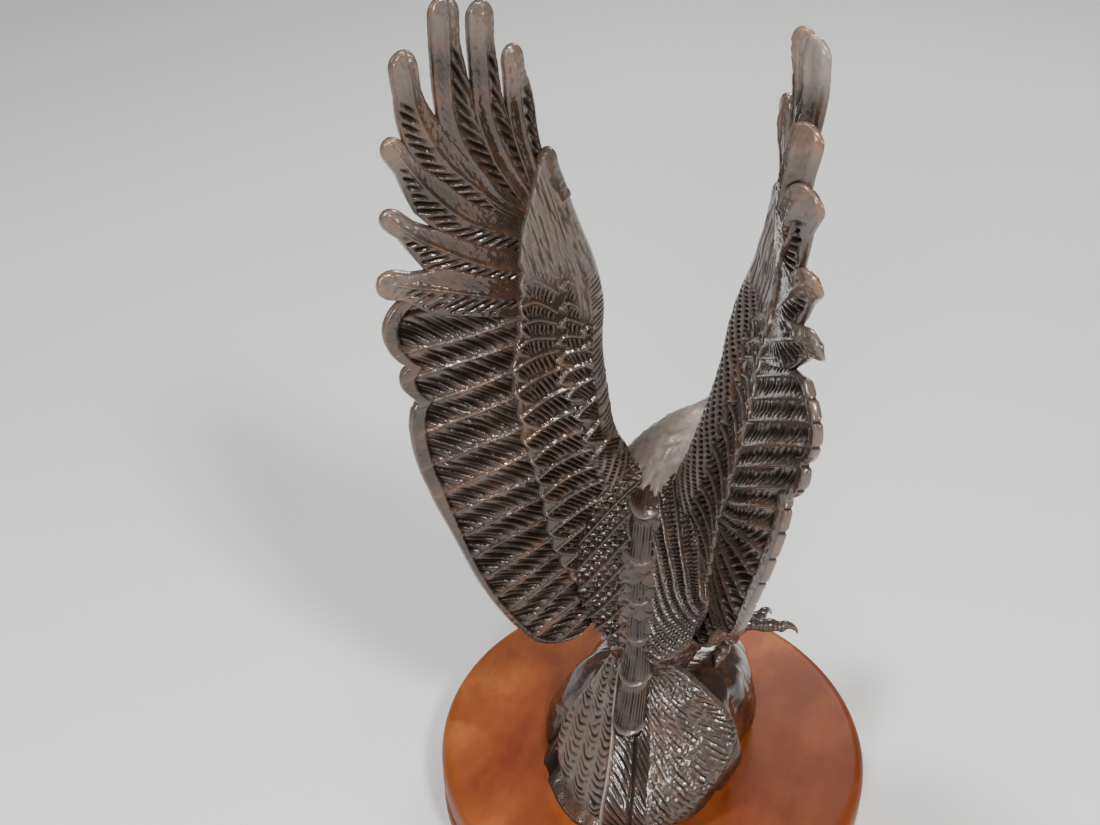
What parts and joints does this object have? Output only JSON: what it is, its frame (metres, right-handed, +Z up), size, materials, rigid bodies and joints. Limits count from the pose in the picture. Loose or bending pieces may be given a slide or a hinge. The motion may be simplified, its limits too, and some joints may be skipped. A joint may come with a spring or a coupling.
{
  "type": "eagle statue",
  "caption": "Dark bronze eagle alighting on a rock with raised, swept-back wings and a fanned tail, on a round turned wooden plinth; a decorative figurine for a shelf, desk or mantel.",
  "frame": {"origin": "centre of the plinth's round underside", "axes": "+Z is up; the eagle's chest faces -Y and its tail lies towards +Y; the eagle's left wing is on the +X side"},
  "size_m": [0.16, 0.16, 0.3243],
  "materials": {
    "bronze": "cast bronze with a dark grey-brown patina, rubbed orange-brown on the edges and polished in the recesses",
    "wood": "turned hardwood, orange-brown stain under a satin varnish"
  },
  "bodies": {
    "root": {"bronze_eagle": "bronze", "wood_plinth": "wood"}
  },
  "joints": []
}
